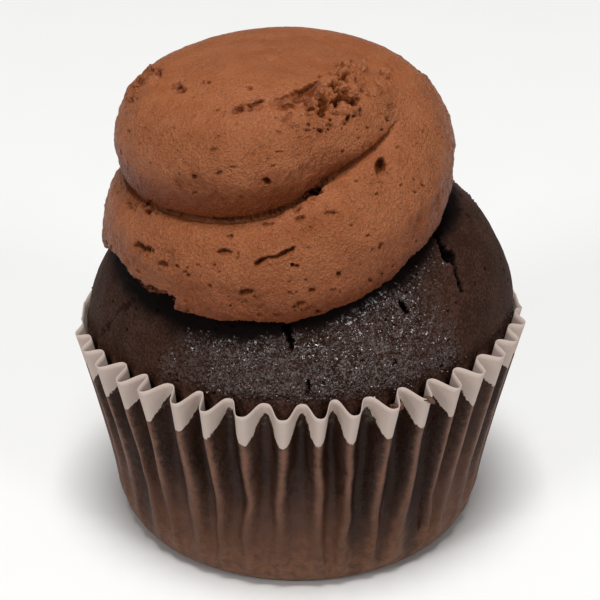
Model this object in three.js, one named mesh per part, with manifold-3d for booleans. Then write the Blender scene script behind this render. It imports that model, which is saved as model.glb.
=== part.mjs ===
// A chocolate cupcake with a piped swirl of frosting, standing in its fluted paper baking case.
//
// Millimetres, +Z up, the origin on the case's flat base under the rim's middle, -Y the front.
// Three solids: the case, the cake that was baked in it, and the frosting piped on the cake.
// Each keeps GAP from the next one.

import * as THREE from "three";
import { mergeVertices } from "three/addons/utils/BufferGeometryUtils.js";
import Module from "manifold-3d";

// ---------------------------------------------------------------- driving dimensions

// Paper case
const RIM_RADIUS = 37; // to the tips of the outward folds
const CASE_HEIGHT = 35.6; // the rim above the base, at the outward folds
const RIM_SLANT = 0.8; // the rim is this much higher at +X, and lower at -X
const FOLD_LIFT = 0.7; // the inward folds lean out less, so they end this much higher
const BASE_RADIUS = 25.8; // flat part of the base
const CORNER_RADIUS = 30.5; // to the fold tips where the rounded corner meets the wall
const CORNER_HEIGHT = 6;
const WALL_FLARE = 1.2; // 1 is a straight wall, and more flares out towards the rim
const CASE_LEAN = 0.35; // from the base up to the rim, towards +X
const RIM_TUCK = 1.5; // at the sides the rim lies this much closer to the cake
const TUCK_TURN = 0.04; // radians that the tucked places are turned about the middle
const TUCK_STARTS = [-0.22, -0.03]; // it begins and is full there, as the sine of the angle from +X
const TUCK_ENDS = [0.4, 0.8]; // and it fades and is gone there
const FLUTES = 40;
const FACETS = 6; // round one flute
const FLUTE_SHIFT = 0.12; // how far a flute strays sideways, as a share of its width
const FOLD_VARIETY = 0.3; // some inward folds are shallower by up to this much
const LEAST_FOLD = 0.1; // and no inward fold is shallower than this at the rim
const PAPER = 0.35; // wall
const GAP = 0.3; // between neighbouring solids

// Cake
const CAKE_HALF_WIDTH = 34.2; // along X, where it leaves the case
const CAKE_HALF_DEPTH = 32; // along Y
const CAKE_PLAN = 1.85; // 2 is an ellipse, less is drawn in between the axes
const DOME_BASE = 34.3; // height of the dome's widest part
const DOME_HEIGHT = 28.5; // from there to its top, under the frosting
const DOME_FULLNESS = 2.05; // 2 is a quarter of an ellipse, and more is fuller
const DOME_LEAN = 0.08; // towards +X, as a share of the height
const DOME_LUMPS = 0.25; // how far its surface swells and sinks
const WEDGE_DEPTH = 1.3; // cracks and tears are this many times as deep as wide
const WEDGE_LIP = 0.4; // and are cut from this far above the surface

// Frosting
const SWIRL_X = -3.4; // the swirl's axis stands off the cake's
const SWIRL_Y = -2.6;
const SWIRL_START = -0.14; // turns from +X, anticlockwise seen from above
const SWIRL_END = 2.06;
const ROPE_FACETS = 24;
const ROPE_LENGTHS = 5; // the rope is made in as many lengths
const LENGTH_STEPS = 18; // sections along one length
const POINT_STEPS = 2; // each length's pointed ends reach this far into the next ones
const SMALLEST_CAP = 0.03; // share of the rounded end's length where its last section is
const CORE_RADIUS = 18.6;
const CORE_MIDDLE = 58;
const CORE_HALF_HEIGHT = 21.2;
const CORE_SQUARENESS = 0.5; // 1 is an ellipse and less has flatter ends
const CORE_RINGS = 14;

// ---------------------------------------------------------------- helpers

const wasm = await Module();
wasm.setup();

const { lerp, clamp, smoothstep, degToRad } = THREE.MathUtils;
const TURN = 2 * Math.PI;
const FRONT = -TURN / 4;

// A repeatable random number from 0 to 1 for a whole number.
function noise(n) {
  const s = Math.sin(n * 127.1 + 311.7) * 43758.5453;
  return s - Math.floor(s);
}

// A smooth curve through [place, value] pairs, level at both ends.
function along(pairs, place) {
  const last = pairs.length - 1;
  let i = 0;
  while (i < last - 1 && place > pairs[i + 1][0]) i++;
  const slope = (k) =>
    k > 0 && k < last
      ? (pairs[k + 1][1] - pairs[k - 1][1]) / (pairs[k + 1][0] - pairs[k - 1][0])
      : 0;
  const span = pairs[i + 1][0] - pairs[i][0];
  const u = clamp((place - pairs[i][0]) / span, 0, 1);
  const blend = lerp(pairs[i][1], pairs[i + 1][1], u * u * (3 - 2 * u));
  return blend + span * u * (1 - u) * (slope(i) * (1 - u) - slope(i + 1) * u);
}

// Joins closed rings of points into one closed surface with a point at each end. The rings run
// anticlockwise seen from above, go outwards or upwards first, and may hold different numbers of
// points. Rising and falling rings are split along the same diagonals, so that walls that run
// beside each other keep their distance.
function closedSurface(startPoint, rings, endPoint) {
  const points = [startPoint];
  const starts = rings.map((ring) => points.push(...ring) - ring.length);
  const end = points.push(endPoint) - 1;
  const faces = [];
  const at = (r, i) => starts[r] + (i % rings[r].length);
  rings[0].forEach((_, i) => faces.push(0, at(0, i + 1), at(0, i)));
  for (let r = 0; r + 1 < rings.length; r++) {
    const [count, nextCount] = [rings[r].length, rings[r + 1].length];
    const rising = rings[r + 1][0].z > rings[r][0].z;
    let i = 0;
    let j = 0;
    while (i < count || j < nextCount) {
      const lead = (i + 1) * nextCount - (j + 1) * count;
      if (lead < 0 || (lead === 0 && rising)) faces.push(at(r, i), at(r, ++i), at(r + 1, j));
      else faces.push(at(r + 1, j), at(r, i), at(r + 1, ++j));
    }
  }
  const last = rings.length - 1;
  rings[last].forEach((_, i) => faces.push(at(last, i), at(last, i + 1), end));
  const geometry = new THREE.BufferGeometry().setFromPoints(points);
  geometry.setIndex(faces);
  return geometry;
}

function toSolid(geometry) {
  const bare = geometry.clone();
  bare.deleteAttribute("normal");
  bare.deleteAttribute("uv");
  const merged = mergeVertices(bare, 1e-4);
  const mesh = new wasm.Mesh({
    numProp: 3,
    vertProperties: merged.attributes.position.array,
    triVerts: new Uint32Array(merged.index.array),
  });
  return new wasm.Manifold(mesh);
}

function toGeometry(solid) {
  const mesh = solid.getMesh();
  const geometry = new THREE.BufferGeometry();
  geometry.setAttribute("position", new THREE.BufferAttribute(mesh.vertProperties, 3));
  geometry.setIndex(new THREE.BufferAttribute(mesh.triVerts, 1));
  return geometry;
}

function namedMesh(name, geometry, material) {
  const faceted = geometry.toNonIndexed();
  faceted.computeVertexNormals();
  const mesh = new THREE.Mesh(faceted, material);
  mesh.name = name;
  return mesh;
}

// ---------------------------------------------------------------- paper case

const COLUMNS = FLUTES * FACETS;
const SLANTED_PAPER = 1.8 * PAPER; // the wall measured radially, at the sharp bend of an inward fold

// Stations up the paper: 0 is the edge of the flat base, 1 the corner's top and 2 the rim.
const CORNER_STATIONS = [0, 0.4, 0.7];
const WALL_STATIONS = [1, 1.4, 1.8, 2];
const FILL_STATION = 1.8; // the cake fills the flutes up to here
const EDGE_STATION = 1.95; // and its dome begins here
const EDGE_FILL = 0.25; // how far the dome's edge still follows the flutes

// Share of the flutes' full depth at a station.
const fluteShare = (s) => along([[0.4, 0], [1, 0.25], [1.5, 0.62], [2, 1]], s);

// The cake's radius where it leaves the case: the inward folds lie against it.
function cakeRadius(angle) {
  const x = Math.abs(Math.cos(angle)) / CAKE_HALF_WIDTH;
  const y = Math.abs(Math.sin(angle)) / CAKE_HALF_DEPTH;
  return (x ** CAKE_PLAN + y ** CAKE_PLAN) ** (-1 / CAKE_PLAN);
}

// The outward folds' tips at the rim. At the sides they lie close to the cake.
function rimRadius(angle) {
  const place = Math.sin(angle - TUCK_TURN);
  const tuck = smoothstep(place, ...TUCK_STARTS) * (1 - smoothstep(place, ...TUCK_ENDS));
  return RIM_RADIUS - RIM_TUCK * tuck;
}

// The outward folds' profile: a curve up from the base, then a wall that leans out to the rim.
function foldTip(s, rim) {
  if (s > 1) {
    const rise = s - 1;
    return {
      r: lerp(CORNER_RADIUS, rim, rise ** WALL_FLARE),
      z: lerp(CORNER_HEIGHT, CASE_HEIGHT, rise),
    };
  }
  const slope = (rim - CORNER_RADIUS) / (CASE_HEIGHT - CORNER_HEIGHT);
  const knee = CORNER_RADIUS - CORNER_HEIGHT * slope;
  const r = (1 - s) * (1 - s) * BASE_RADIUS + 2 * s * (1 - s) * knee + s * s * CORNER_RADIUS;
  return { r, z: s * s * CORNER_HEIGHT };
}

// Column k's place round the case. No two flutes are equally wide.
function columnAngle(k) {
  const flute = Math.floor(k / FACETS);
  const part = (k % FACETS) / FACETS;
  const shift = (n) => FLUTE_SHIFT * (noise(n % FLUTES) - 0.5);
  const place = flute + part + lerp(shift(flute), shift(flute + 1), part);
  return FRONT + ((place + 0.5) / FLUTES) * TURN;
}

// The paper's outer face at column k and station s.
function casePoint(k, s) {
  const angle = columnAngle(k);
  const rim = rimRadius(angle);
  const tip = foldTip(s, rim);
  const rise = Math.max(s - 1, 0);
  const flute = Math.floor(k / FACETS) % FLUTES;
  // 0 on an outward fold and 1 on an inward one; the outward folds are sharper low down.
  const fold = Math.abs(Math.sin((Math.PI * k) / FACETS)) ** lerp(1.3, 2, rise);
  const shallower = FOLD_VARIETY * noise(flute + FLUTES);
  const room = rim - cakeRadius(angle) - SLANTED_PAPER - GAP - shallower;
  const depth = Math.max(room, LEAST_FOLD);
  const lift = rise * rise * (FOLD_LIFT * fold + RIM_SLANT * Math.cos(angle));
  return { angle, r: tip.r - depth * fluteShare(s) * fold, z: tip.z + lift };
}

// A ring of the paper at station s, moved by inset along the paper's inward normal.
function caseRing(s, inset = 0) {
  const level = Math.min(s, 1);
  const sideways = inset * level;
  const upwards = inset * Math.sqrt(1 - level * level);
  const step = s < 0.5 ? 3 : 1;
  const count = COLUMNS / step;
  const polar = Array.from({ length: count }, (_, i) => casePoint(i * step, s));
  const flat = polar.map((p) => {
    const lean = CASE_LEAN * (p.z / CASE_HEIGHT - 1);
    return new THREE.Vector2(p.r * Math.cos(p.angle) + lean, p.r * Math.sin(p.angle));
  });
  const inward = (a, b) => new THREE.Vector2(a.y - b.y, b.x - a.x).normalize();
  return flat.map((p, i) => {
    const before = inward(flat[(i + count - 1) % count], p);
    const after = inward(p, flat[(i + 1) % count]);
    const mitre = before.clone().add(after).normalize();
    const reach = sideways / mitre.dot(after);
    return new THREE.Vector3(p.x + mitre.x * reach, p.y + mitre.y * reach, polar[i].z + upwards);
  });
}

function paperCase() {
  const stations = [...CORNER_STATIONS, ...WALL_STATIONS];
  const outside = stations.map((s) => caseRing(s));
  const inside = stations.map((s) => caseRing(s, PAPER)).reverse();
  const under = new THREE.Vector3(0, 0, 0);
  const over = new THREE.Vector3(0, 0, PAPER);
  return closedSurface(under, [...outside, ...inside], over);
}

// ---------------------------------------------------------------- cake

// The dome at a height share from 0 at its widest to 1 at its top, grown by extra.
function domePoint(angle, share, extra = 0) {
  const reach = (1 - share ** DOME_FULLNESS) ** (1 / DOME_FULLNESS);
  const lumps = DOME_LUMPS * reach * share * (Math.sin(3 * angle + 5 * share) + Math.sin(7 * angle));
  const r = reach * (cakeRadius(angle) + extra) + lumps;
  const z = DOME_BASE + share * (DOME_HEIGHT + extra);
  const lean = DOME_LEAN * (z - DOME_BASE);
  return new THREE.Vector3(r * Math.cos(angle) + lean, r * Math.sin(angle), z);
}

// A ring of the dome on every step-th column of the case.
function domeRing(step, share, extra = 0) {
  return Array.from({ length: COLUMNS / step }, (_, i) => domePoint(columnAngle(i * step), share, extra));
}

// The dome's rings from its widest part to its top, and the point that closes them.
function dome(extra = 0) {
  const rings = [
    domeRing(2, 0.08, extra),
    ...[0.2, 0.34, 0.48, 0.61, 0.73, 0.84, 0.93].map((share) => domeRing(4, share, extra)),
    domeRing(12, 0.98, extra),
  ];
  return { rings, top: domePoint(0, 1, extra) };
}

// Cracks that the dome baked with, from end to end: [degrees round from +X, height share, width].
const CRACKS = [
  [[-34, 0.74, 0], [-33, 0.67, 1], [-36, 0.635, 1.2], [-34, 0.587, 2], [-35, 0.53, 1], [-34, 0.42, 0]],
  [[-60.2, 0.52, 0], [-59, 0.475, 1.2], [-58, 0.43, 0]],
  [[-96, 0.445, 0], [-95, 0.39, 0.9], [-94, 0.32, 0]],
  [[-150, 0.37, 0], [-153.5, 0.272, 1.4], [-157.3, 0.126, 1.4], [-161.5, 0.03, 0]],
  [[52, 0.66, 0], [55, 0.58, 1.1], [53, 0.5, 1.5], [56, 0.43, 0]],
  [[128, 0.5, 0], [131, 0.43, 1.1], [129, 0.36, 0]],
];

// A crack or a tear: a wedge let into a surface along its places. Each of them has the point on the
// surface, the way out of it, and the opening's width there.
function wedge(places) {
  const rings = places.slice(1, -1).map(({ point, out, width }, i) => {
    const ahead = places[i + 2].point.clone().sub(places[i].point);
    const side = out.clone().cross(ahead).setLength(width / 2);
    const lip = point.clone().addScaledVector(out, WEDGE_LIP);
    const bottom = point.clone().addScaledVector(out, -WEDGE_DEPTH * width);
    return [lip.clone().add(side), lip.clone().sub(side), bottom];
  });
  return closedSurface(places[0].point, rings, places[places.length - 1].point);
}

function cakeBody() {
  const inset = PAPER + GAP;
  const filled = [...CORNER_STATIONS, ...WALL_STATIONS].filter((s) => s <= FILL_STATION);
  const sides = filled.map((s) => caseRing(s, inset));
  // Near the rim the cake has drawn back from the outward folds.
  const rim = caseRing(EDGE_STATION, inset);
  const edge = rim.map((p, k) => {
    const fold = rim[k - (k % FACETS) + FACETS / 2];
    const r = Math.hypot(p.x, p.y);
    const drawn = lerp(Math.min(r, Math.hypot(fold.x, fold.y)), r, EDGE_FILL);
    return new THREE.Vector3((p.x * drawn) / r, (p.y * drawn) / r, p.z);
  });
  const { rings, top } = dome();
  return closedSurface(new THREE.Vector3(0, 0, inset), [...sides, edge, ...rings], top);
}

function cake() {
  const middle = new THREE.Vector3(0, 0, DOME_BASE);
  let body = toSolid(cakeBody());
  for (const crack of CRACKS) {
    const places = crack.map(([degrees, share, width]) => {
      const point = domePoint(degToRad(degrees), share);
      return { point, out: point.clone().sub(middle).normalize(), width };
    });
    body = body.subtract(toSolid(wedge(places)));
  }
  return toGeometry(body);
}

// ---------------------------------------------------------------- frosting

// The rope's centre line and section, each as [turns, size] pairs.
const ROPE_RADIUS = [
  [0, 14.5], [0.5, 14.5], [0.75, 15.5], [1, 14.4],
  [1.4, 12.8], [1.68, 12.1], [1.8, 9.7], [2.06, 12],
];
const ROPE_HEIGHT = [
  [0, 55.5], [0.5, 54], [0.75, 53.4], [1, 65.9], [1.15, 68],
  [1.4, 67.5], [1.6, 66.3], [1.8, 69.6], [2.06, 71],
];
const ROPE_HALF_WIDTH = [[0, 12.6], [1.3, 12.6], [1.68, 12], [1.8, 10], [2.06, 9.4]];
const ROPE_HALF_HEIGHT = [
  [0, 7], [0.4, 10.1], [1, 10.4], [1.4, 10.7], [1.6, 10.3], [1.8, 8.8], [2.06, 7.6],
];

function ropeCentre(turns) {
  const angle = turns * TURN;
  const r = along(ROPE_RADIUS, turns);
  return new THREE.Vector3(r * Math.cos(angle), r * Math.sin(angle), along(ROPE_HEIGHT, turns));
}

// A point of the rope's surface; round runs from its outer side downwards.
function ropePoint(turns, round) {
  const ahead = ropeCentre(turns + 0.01).sub(ropeCentre(turns - 0.01)).normalize();
  const outward = new THREE.Vector3(ahead.y, -ahead.x, 0).normalize();
  const down = new THREE.Vector3().crossVectors(ahead, outward);
  const halfWidth = along(ROPE_HALF_WIDTH, turns);
  const capTurns = halfWidth / (TURN * along(ROPE_RADIUS, turns));
  const fromEnd = clamp(Math.min(turns - SWIRL_START, SWIRL_END - turns) / capTurns, SMALLEST_CAP, 1);
  const cap = Math.sqrt(1 - (1 - fromEnd) ** 2);
  return ropeCentre(turns)
    .addScaledVector(outward, halfWidth * cap * Math.cos(round))
    .addScaledVector(down, along(ROPE_HALF_HEIGHT, turns) * cap * Math.sin(round));
}

function ropeRing(turns) {
  return Array.from({ length: ROPE_FACETS }, (_, i) => ropePoint(turns, (i / ROPE_FACETS) * TURN));
}

// One length of the rope, less than half a turn, so that it doesn't meet itself. Its ends are
// pointed and reach into its neighbours.
function ropeLength(n) {
  const shareAt = (i) => clamp((n + i / LENGTH_STEPS) / ROPE_LENGTHS, 0, 1);
  const turnsAt = (i) => lerp(SWIRL_START, SWIRL_END, shareAt(i));
  const rings = Array.from({ length: LENGTH_STEPS + 1 }, (_, i) => ropeRing(turnsAt(i)));
  const [before, after] = [turnsAt(-POINT_STEPS), turnsAt(LENGTH_STEPS + POINT_STEPS)];
  return closedSurface(ropeCentre(before), rings, ropeCentre(after));
}

// The swirl's filled middle: a flat-topped round body that the rope winds about.
function core() {
  const profile = Array.from({ length: CORE_RINGS + 1 }, (_, i) => {
    const a = lerp(-TURN / 4, TURN / 4, i / CORE_RINGS);
    const side = Math.cos(a) ** CORE_SQUARENESS;
    const up = Math.sign(a) * Math.abs(Math.sin(a)) ** CORE_SQUARENESS;
    return new THREE.Vector2(CORE_RADIUS * side, CORE_HALF_HEIGHT * up);
  });
  return new THREE.LatheGeometry(profile, ROPE_FACETS).rotateX(TURN / 4).translate(0, 0, CORE_MIDDLE);
}

// Tears and holes in the frosting, from end to end: [turns, degrees round the rope, width].
const TEARS = [
  [[1.455, -36, 0], [1.465, -44, 2.4], [1.47, -55, 2.6], [1.462, -66, 0]],
  [[1.54, -69, 0], [1.552, -75, 1.1], [1.565, -80, 0]],
  [[1.685, -75, 0], [1.72, -80, 1.1], [1.76, -81, 1.3], [1.81, -84, 0]],
  [[1.81, -78, 0], [1.845, -66, 2.6], [1.862, -56, 2.6], [1.885, -48, 0]],
  [[1.735, 13, 0], [1.75, 18, 1.2], [1.765, 24, 0]],
  [[0.92, -70, 0], [0.913, -63, 1.1], [0.905, -55, 1.8], [0.899, -50, 0]],
  [[0.733, -23, 0], [0.75, -27, 1.1], [0.762, -30, 1], [0.778, -33, 0]],
  [[0.565, -36, 0], [0.59, -41, 1.4], [0.61, -46, 0]],
  [[0.59, 26, 0], [0.62, 20, 1.5], [0.65, 18, 1.5], [0.675, 26, 0]],
  [[1.05, -42, 0], [1.07, -36, 1.2], [1.09, -32, 0]],
  [[0.29, -16, 0], [0.315, -22, 1.3], [0.345, -27, 0]],
  [[1.2, -4, 0], [1.22, 2, 1], [1.245, 7, 0]],
];

function frosting() {
  let swirl = toSolid(core());
  for (let n = 0; n < ROPE_LENGTHS; n++) swirl = swirl.add(toSolid(ropeLength(n)));
  for (const tear of TEARS) {
    const places = tear.map(([turns, degrees, width]) => {
      const point = ropePoint(turns, degToRad(degrees));
      return { point, out: point.clone().sub(ropeCentre(turns)).normalize(), width };
    });
    swirl = swirl.subtract(toSolid(wedge(places)));
  }
  swirl = swirl.translate(SWIRL_X, SWIRL_Y, 0);
  const bed = dome(GAP);
  const under = domeRing(2, 0, GAP).map((p) => p.setZ(DOME_BASE - 5));
  const cakeRoom = closedSurface(new THREE.Vector3(0, 0, DOME_BASE - 5), [under, ...bed.rings], bed.top);
  return toGeometry(swirl.subtract(toSolid(cakeRoom)));
}

// ---------------------------------------------------------------- group

const paper = new THREE.MeshStandardMaterial({ color: 0x6b4a3c, roughness: 0.8, metalness: 0 });
const sponge = new THREE.MeshStandardMaterial({ color: 0x33221c, roughness: 0.6, metalness: 0 });
const buttercream = new THREE.MeshStandardMaterial({ color: 0x8f573a, roughness: 0.6, metalness: 0 });

const cupcake = new THREE.Group();
cupcake.add(namedMesh("paper_case", paperCase(), paper));
cupcake.add(namedMesh("cake", cake(), sponge));
cupcake.add(namedMesh("frosting", frosting(), buttercream));

export default cupcake;
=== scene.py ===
import math

import bmesh
import bpy
import numpy as np
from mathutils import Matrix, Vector
from mathutils.bvhtree import BVHTree
from mathutils.kdtree import KDTree


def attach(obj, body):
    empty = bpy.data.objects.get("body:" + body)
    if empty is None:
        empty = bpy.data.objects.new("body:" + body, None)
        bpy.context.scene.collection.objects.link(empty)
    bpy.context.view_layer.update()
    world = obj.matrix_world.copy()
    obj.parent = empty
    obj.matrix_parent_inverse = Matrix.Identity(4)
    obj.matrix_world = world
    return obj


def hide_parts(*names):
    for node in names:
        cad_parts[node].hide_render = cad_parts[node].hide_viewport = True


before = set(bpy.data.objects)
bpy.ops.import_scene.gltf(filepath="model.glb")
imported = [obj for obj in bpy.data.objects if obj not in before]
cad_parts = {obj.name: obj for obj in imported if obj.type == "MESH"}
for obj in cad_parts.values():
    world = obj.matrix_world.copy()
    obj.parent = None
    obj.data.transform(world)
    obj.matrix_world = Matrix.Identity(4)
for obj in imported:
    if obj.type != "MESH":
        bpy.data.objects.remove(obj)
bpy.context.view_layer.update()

# ---------------------------------------------------------------- camera
# It stands a forearm's length in front of the cupcake and looks down at the middle of the case's
# rim. Its frame is 600 points wide and high, and some small marks are placed by their point in it.

MM = 0.001
CASE_HEIGHT = 35.6 * MM
VIEW_ELEVATION = math.radians(27.6)
VIEW_DISTANCE = 333 * MM
FRAME_WIDTH = 600
FRAME_FOCUS = 2041.2  # focal length, measured in points of the frame
FRAME_MIDDLE = (299.7, 304.5)  # where the rim's middle comes
SENSOR = 36


def new_object(name, data):
    made = bpy.data.objects.new(name, data)
    bpy.context.scene.collection.objects.link(made)
    return made


rim_middle = Vector((0, 0, CASE_HEIGHT))
camera = new_object("camera", bpy.data.cameras.new("camera"))
camera.data.sensor_width = SENSOR
camera.data.lens = SENSOR * FRAME_FOCUS / FRAME_WIDTH
camera.data.shift_x = 0.5 - FRAME_MIDDLE[0] / FRAME_WIDTH
camera.data.shift_y = FRAME_MIDDLE[1] / FRAME_WIDTH - 0.5
from_rim = Vector((0, -math.cos(VIEW_ELEVATION), math.sin(VIEW_ELEVATION)))
camera.location = rim_middle + VIEW_DISTANCE * from_rim
camera.rotation_euler = (math.pi / 2 - VIEW_ELEVATION, 0, 0)
bpy.context.scene.camera = camera
bpy.context.view_layer.update()

# ---------------------------------------------------------------- paper case
# The baking case: one round sheet of greaseproof paper pressed into forty flutes. The batter baked
# against it, so it is stained dark up to where the cake ended and stays white along its rim.

RIM_RADIUS = 36.9 * MM
RIM_SLANT = 0.8 * MM  # it is this much higher at +X, and lower at -X
FOLD_LIFT = 0.7 * MM  # and higher on its inward folds
BASE_RADIUS = 25.8 * MM
CORNER_RADIUS = 30.5 * MM
CORNER_HEIGHT = 6 * MM
WALL_FLARE = 1.2  # 1 is a straight wall, and more flares out towards the rim
CASE_LEAN = 0.35 * MM  # the base stands this much to -X of the rim
RIM_TUCK = 1.5 * MM  # at the sides the rim lies this much closer to the cake
TUCK_TURN = 0.04  # radians
TUCK_STARTS = (-0.22, -0.03)  # it begins and is full there, as the sine of the angle from +X
TUCK_ENDS = (0.4, 0.8)
FLUTES = 40
FLUTE_SHIFT = 0.18  # of a flute, that each is off its even place
FLUTE_FULLNESS = 0.8  # 0 is a plain wave and 1 has rounder folds and steeper sides
FOLD_VARIETY = 0.6 * MM  # that an inward fold is shallower than the deepest
FOLD_ROOM = 0.93 * MM  # left between an inward fold and the cake's own outline
LEAST_FOLD = 0.1 * MM
FOLD_POWER = (1.3, 2)  # at the corner and at the rim, and more makes the inward folds narrower
PAPER = 0.08 * MM
CAKE_HALF_WIDTH = 34.2 * MM
CAKE_HALF_DEPTH = 32 * MM
CAKE_PLAN = 1.85

FACETS = 20  # round one flute
BASE_MIDDLE = -0.98  # the first row's station, where -1 is the very middle
BASE_ROWS = 6
CORNER_ROWS = 10
WALL_ROWS = 30
RIDGE_WANDER = 0.045  # radians that a flute strays on its way down
RIM_UNEVEN = 0.3 * MM
PRESSED = [(0.4, 0), (1, 0.25), (1.5, 0.62), (2, 1)]  # (station, share of the flutes' full depth)

BARE_AT_RIDGE = 5.9  # mm of bare paper below the rim on an outward fold
BARE_AT_VALLEY = 2.1  # and on an inward one
STAIN_STRAY = 2.4  # mm that the stain's upper edge goes up and down
STAIN_BLEED = 0.12  # mm on either side of it that the stain bleeds
GREASY_DOWN_TO = 5.8  # mm below the rim
PALER_LOW = (10, 27)  # mm below the rim between which the stain gets paler and browner
TABLE_BOUNCE_LOW = (22, 36)  # and between which the stain is painted paler, as light thrown up from the pale table
BARE_PAPER = (0.56, 0.455, 0.4, 1)
BARE_SHADED = (0.504, 0.4095, 0.36, 1)
STAINED_RIDGE = (0.18, 0.08, 0.048, 1)
STAINED_VALLEY = (0.042, 0.0185, 0.012, 1)
STAINED_DARK = (0.022, 0.0075, 0.0035, 1)
STAINED_LOW = (0.095, 0.04, 0.023, 1)
# Painted bounce light: the corner's stain, paler for the light the pale table throws up onto it
STAINED_CORNER_BOUNCE_LIT = (0.19, 0.085, 0.046, 1)
GREASE = (0.1, 0.085, 0.06, 1)


def flute_noise(n):
    """A repeatable random number from 0 to 1 for a whole number."""
    s = math.sin(n * 127.1 + 311.7) * 43758.5453
    return s - math.floor(s)


def along(pairs, place):
    """A smooth curve through (place, value) pairs, level at both ends."""
    places, values = np.array(pairs, float).T
    slopes = np.zeros(len(places))
    slopes[1:-1] = (values[2:] - values[:-2]) / (places[2:] - places[:-2])
    i = np.clip(np.searchsorted(places, place) - 1, 0, len(places) - 2)
    span = places[i + 1] - places[i]
    u = np.clip((place - places[i]) / span, 0, 1)
    blend = values[i] + (values[i + 1] - values[i]) * u * u * (3 - 2 * u)
    return blend + span * u * (1 - u) * (slopes[i] * (1 - u) - slopes[i + 1] * u)


def lumps(points, size, seed=0):
    """Smooth noise from -1 to 1 at points, with lumps of about that size."""
    place = np.asarray(points, float) / size + 0.37 * seed
    cell = np.floor(place).astype(np.int64)
    part = place - cell
    part = part * part * (3 - 2 * part)
    total = np.zeros(len(place))
    for corner in np.ndindex(2, 2, 2):
        key = (cell + corner) * (73856093, 19349663, 83492791)
        mixed = (key[:, 0] ^ key[:, 1] ^ key[:, 2]) + seed * 1013
        mixed = ((mixed ^ (mixed >> 13)) * 1274126177) & 0x7FFFFFFF
        value = ((mixed ^ (mixed >> 15)) & 0xFFFF) / 32767.5 - 1
        total += value * np.prod(np.where(corner, part, 1 - part), axis=1)
    return total


class Amount:
    """A number that nodes work out, so that a formula can be written as one."""

    def __init__(self, tree, socket):
        self.tree = tree
        self.socket = socket

    def through(self, operation, *others):
        node = self.tree.nodes.new("ShaderNodeMath")
        node.operation = operation
        for place, value in zip(node.inputs, (self, *others)):
            if isinstance(value, Amount):
                self.tree.links.new(value.socket, place)
            else:
                place.default_value = value
        return Amount(self.tree, node.outputs[0])

    def __add__(self, other):
        return self.through("ADD", other)

    def __sub__(self, other):
        return self.through("SUBTRACT", other)

    def __mul__(self, other):
        return self.through("MULTIPLY", other)

    def __truediv__(self, other):
        return self.through("DIVIDE", other)

    def __pow__(self, other):
        return self.through("POWER", other)

    def __neg__(self):
        return self * -1

    def __rsub__(self, other):
        return -self + other

    def __rtruediv__(self, other):
        return self.through("POWER", -1) * other

    __radd__ = __add__
    __rmul__ = __mul__

    def between(self, low, high):
        """0 below low, 1 above high, and smooth in between."""
        node = self.tree.nodes.new("ShaderNodeMapRange")
        node.interpolation_type = "SMOOTHSTEP"
        self.tree.links.new(self.socket, node.inputs["Value"])
        for name, value in (("From Min", low), ("From Max", high)):
            if isinstance(value, Amount):
                self.tree.links.new(value.socket, node.inputs[name])
            else:
                node.inputs[name].default_value = value
        return Amount(self.tree, node.outputs["Result"])


def new_mesh_piece(name, points, faces):
    mesh = bpy.data.meshes.new(name)
    mesh.from_pydata(np.asarray(points).tolist(), [], faces)
    return new_object(name, mesh)


def give(piece, name, values):
    """Keeps a number for each point of a piece's mesh."""
    layer = piece.data.attributes.new(name, "FLOAT", "POINT")
    layer.data.foreach_set("value", np.asarray(values, np.float32))


def grid_faces(rows, columns):
    """Faces between rows of points that each close on themselves."""
    faces = []
    for row in range(rows - 1):
        for i in range(columns):
            j = (i + 1) % columns
            low, high = row * columns, (row + 1) * columns
            faces.append((low + i, low + j, high + j, high + i))
    return faces


def settle(piece):
    """Makes the result of a piece's modifiers its plain mesh."""
    graph = bpy.context.evaluated_depsgraph_get()
    graph.update()
    old = piece.data
    mesh = bpy.data.meshes.new_from_object(piece.evaluated_get(graph))
    mesh.name = piece.name
    piece.modifiers.clear()
    piece.data = mesh
    bpy.data.meshes.remove(old)
    piece.data.shade_smooth()
    return piece


def node_tree(name, kind, inputs, outputs):
    """An empty tree with its named inputs and outputs: (name, socket kind, value) each."""
    tree = bpy.data.node_groups.new(name, kind)
    for label, socket, value in inputs:
        made = tree.interface.new_socket(name=label, in_out="INPUT", socket_type=socket)
        if value is not None:
            made.default_value = value
    for label, socket in outputs:
        tree.interface.new_socket(name=label, in_out="OUTPUT", socket_type=socket)
    return tree, tree.nodes.new("NodeGroupInput"), tree.nodes.new("NodeGroupOutput")


def piece_tree(name, sizes):
    """A tree that makes a piece from a mesh, from sizes with a name and value each, and a material."""
    inputs = [("Mesh", "NodeSocketGeometry", None)]
    inputs += [(label, "NodeSocketFloat", value) for label, value in sizes]
    inputs.append(("Material", "NodeSocketMaterial", None))
    outputs = [("Piece", "NodeSocketGeometry")]
    tree, given, result = node_tree(name, "GeometryNodeTree", inputs, outputs)
    return tree, given, result, {label: Amount(tree, given.outputs[label]) for label, _ in sizes}


def kept_by_mesh(tree, name):
    """A number that a tree's mesh keeps for each of its points."""
    node = tree.nodes.new("GeometryNodeInputNamedAttribute")
    node.data_type = "FLOAT"
    node.inputs["Name"].default_value = name
    return Amount(tree, node.outputs["Attribute"])


def end_tree(tree, given, result, geometry):
    """Makes the geometry plain mesh, with its material, and puts it out."""
    real = tree.nodes.new("GeometryNodeRealizeInstances")
    coat = tree.nodes.new("GeometryNodeSetMaterial")
    tree.links.new(geometry, real.inputs["Geometry"])
    tree.links.new(real.outputs["Geometry"], coat.inputs["Geometry"])
    tree.links.new(given.outputs["Material"], coat.inputs["Material"])
    tree.links.new(coat.outputs["Geometry"], result.inputs["Piece"])


def set_inputs(modifier, **values):
    """Sets a tree's named inputs on a modifier, by their sockets' identifiers."""
    for item in modifier.node_group.interface.items_tree:
        key = item.name.replace(" ", "_")
        if item.in_out == "INPUT" and key in values:
            modifier[item.identifier] = values[key]


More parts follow.
